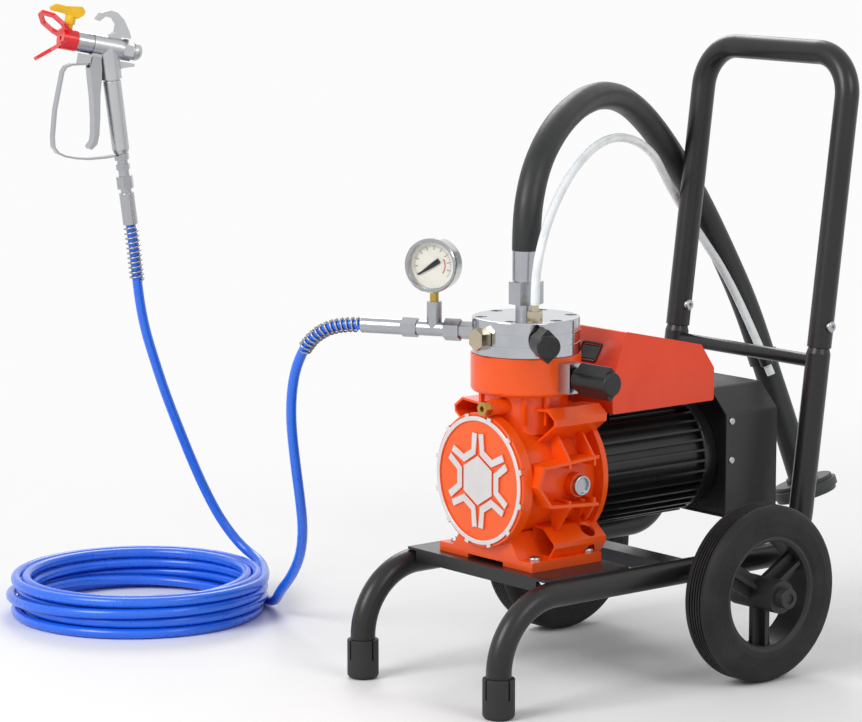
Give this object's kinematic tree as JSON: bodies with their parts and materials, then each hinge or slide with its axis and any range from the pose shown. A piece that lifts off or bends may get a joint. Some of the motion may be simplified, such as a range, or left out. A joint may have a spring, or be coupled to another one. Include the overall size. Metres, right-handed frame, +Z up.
{
  "type": "airless paint sprayer",
  "caption": "Airless paint sprayer: diaphragm pump and motor on a two-wheeled cart, with suction hose, return tube and a coiled high-pressure hose to a spray gun.",
  "frame": {"origin": "on the floor under the centre of the box around all pieces that are not on a hose", "axes": "+X across the cart towards the side with the sight glass, +Y from the pump to the push handle, +Z up"},
  "size_m": [0.929, 0.8451, 0.7367],
  "materials": {
    "frame_black": "satin",
    "orange_paint": "satin",
    "cover_silver": "satin",
    "steel_zinc": "polished",
    "head_steel": "brushed",
    "brass_fitting": "polished",
    "tyre_rubber": "matte",
    "cap_rubber": "matte",
    "hub_plastic": "satin",
    "knob_plastic": "glossy",
    "motor_black": "satin",
    "core_steel": "matte",
    "fan_plastic": "matte",
    "black_hose": "satin",
    "white_tube": "glossy",
    "blue_hose": "glossy",
    "gun_metal": "satin",
    "gauge_glass": "clear",
    "red_plastic": "glossy",
    "yellow_plastic": "glossy",
    "membrane_rubber": "matte"
  },
  "bodies": {
    "sprayer": {"side_tube_left": "frame_black", "side_tube_right": "frame_black", "deck_plate_front": "frame_black", "deck_rail_rear": "frame_black", "upright_crossbar": "frame_black", "push_handle": "frame_black", "frame_bolts": "steel_zinc", "foot_caps": "cap_rubber", "axle": "steel_zinc", "axle_caps": "knob_plastic", "pump_housing": "orange_paint", "front_cover": "cover_silver", "oil_fill_plug": "brass_fitting", "oil_sight_glass": "steel_zinc", "diaphragm": "membrane_rubber", "pump_head": "head_steel", "head_bolts": "steel_zinc", "head_plug": "steel_zinc", "suction_fitting": "steel_zinc", "suction_hose": "black_hose", "hose_clip": "knob_plastic", "suction_strainer": "knob_plastic", "return_fitting": "steel_zinc", "return_tube": "white_tube", "outlet_adapter": "steel_zinc", "outlet_tee": "steel_zinc", "gauge_case": "knob_plastic", "gauge_lens": "gauge_glass", "pressure_valve_block": "steel_zinc", "motor_housing": "motor_black", "stator": "core_steel", "fan_cover": "motor_black", "cover_screws": "steel_zinc", "control_box": "orange_paint", "hose_pump_ferrule": "steel_zinc", "hose_pump_guard": "steel_zinc", "hose_to_coil": "blue_hose", "hose_coil": "blue_hose", "hose_to_gun": "blue_hose", "hose_gun_guard": "steel_zinc", "hose_gun_ferrule": "steel_zinc", "gun_handle": "gun_metal", "gun_body": "gun_metal", "trigger_guard": "steel_zinc", "tip_guard": "red_plastic", "guard_nut": "steel_zinc", "gun_rear_cap": "gun_metal"},
    "wheel_left": {"tyre_left": "tyre_rubber", "hub_left": "hub_plastic"},
    "wheel_right": {"tyre_right": "tyre_rubber", "hub_right": "hub_plastic"},
    "drive_shaft": {"motor_shaft": "core_steel", "cooling_fan": "fan_plastic"},
    "pump_piston": {"piston": "head_steel"},
    "prime_valve": {"prime_knob": "knob_plastic"},
    "pressure_adjuster": {"pressure_knob": "knob_plastic"},
    "power_switch": {"switch_rocker": "knob_plastic"},
    "gauge_pointer": {"gauge_needle": "knob_plastic"},
    "trigger_lever": {"gun_trigger": "steel_zinc"},
    "reversible_tip": {"tip_key": "yellow_plastic"}
  },
  "joints": [
    {"name": "wheel_left_spin", "type": "hinge", "parent": "sprayer", "child": "wheel_left", "pos_m": [0.0344, 0.12335, 0.1], "axis": [1, 0, 0], "continuous": true},
    {"name": "wheel_right_spin", "type": "hinge", "parent": "sprayer", "child": "wheel_right", "pos_m": [0.3758, 0.12335, 0.1], "axis": [1, 0, 0], "continuous": true},
    {"name": "motor_shaft_spin", "type": "hinge", "parent": "sprayer", "child": "drive_shaft", "pos_m": [0.2051, 0.12335, 0.2338], "axis": [0, 1, 0], "continuous": true},
    {"name": "piston_slide", "type": "slide", "parent": "sprayer", "child": "pump_piston", "axis": [0, 0, 1], "range_m": [-0.0059, 0]},
    {"name": "prime_knob_turn", "type": "hinge", "parent": "sprayer", "child": "prime_valve", "pos_m": [0.25856, -0.10289, 0.391], "axis": [0.891, -0.454, 0], "range_deg": [0, 90]},
    {"name": "pressure_knob_turn", "type": "hinge", "parent": "sprayer", "child": "pressure_adjuster", "pos_m": [0.2869, -0.06993, 0.3495], "axis": [0.9976, 0.0698, 0], "range_deg": [-135, 135]},
    {"name": "switch_rock", "type": "hinge", "parent": "sprayer", "child": "power_switch", "pos_m": [0.2211, 0.00868, 0.3625], "axis": [1, 0, 0], "range_deg": [-8, 8]},
    {"name": "gauge_needle_sweep", "type": "hinge", "parent": "sprayer", "child": "gauge_pointer", "pos_m": [0.11114, -0.1299, 0.463], "axis": [0.5, -0.866, 0], "range_deg": [-250, 0]},
    {"name": "trigger_pull", "type": "hinge", "parent": "sprayer", "child": "trigger_lever", "pos_m": [-0.38723, -0.24532, 0.6664], "axis": [0.9703, -0.2419, 0], "range_deg": [0, 12], "stiffness_Nm_per_rad": 0.6},
    {"name": "tip_key_turn", "type": "hinge", "parent": "sprayer", "child": "reversible_tip", "pos_m": [-0.39573, -0.27939, 0.69447], "axis": [0.0482, 0.1934, 0.9799], "range_deg": [0, 180]}
  ]
}
